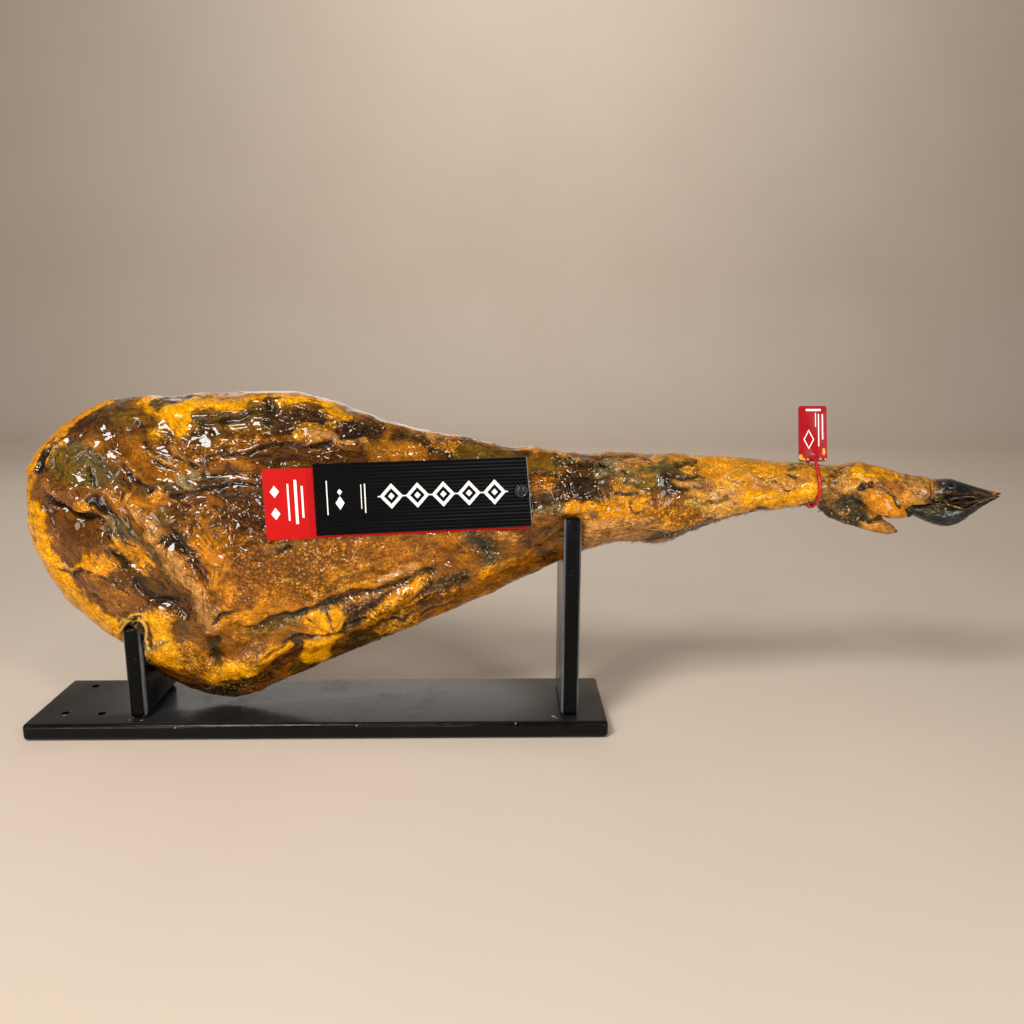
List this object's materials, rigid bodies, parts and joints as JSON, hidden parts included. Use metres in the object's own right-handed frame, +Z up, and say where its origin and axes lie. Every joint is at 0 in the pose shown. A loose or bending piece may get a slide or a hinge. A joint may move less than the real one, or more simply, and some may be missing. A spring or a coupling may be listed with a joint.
{
  "type": "cured ham on its display stand",
  "caption": "Whole cured ham with its foot, meat side out, resting in the two cradles of a black wooden display stand, with a card label on its face and a seal strapped round the shank.",
  "frame": {"origin": "middle of the base board's underside", "axes": "+X along the stand towards the hoof, +Y to the back, away from the meat side and the label, +Z up"},
  "size_m": [0.845, 0.136, 0.293],
  "materials": {
    "black_lacquer": "black satin lacquer on wood, small chips and scuffs",
    "cured_ham": "oily dried flesh and golden fat with grey-green bloom",
    "hoof_horn": "dark polished horn",
    "black_card": "matt black card with fine raised ribs",
    "red_card": "matt coated red card",
    "black_plastic": "moulded black plastic",
    "red_strap": "round red plastic strap",
    "red_plastic": "glossy deep red plastic plate"
  },
  "bodies": {
    "root": {"base_board": "black_lacquer", "hip_post": "black_lacquer", "shank_post": "black_lacquer", "ham": "cured_ham", "hoof_upper": "hoof_horn", "hoof_lower": "hoof_horn", "label_black_card": "black_card", "label_red_card": "red_card", "label_stud": "black_plastic", "seal_strap": "red_strap", "seal_tag": "red_plastic"}
  },
  "joints": []
}
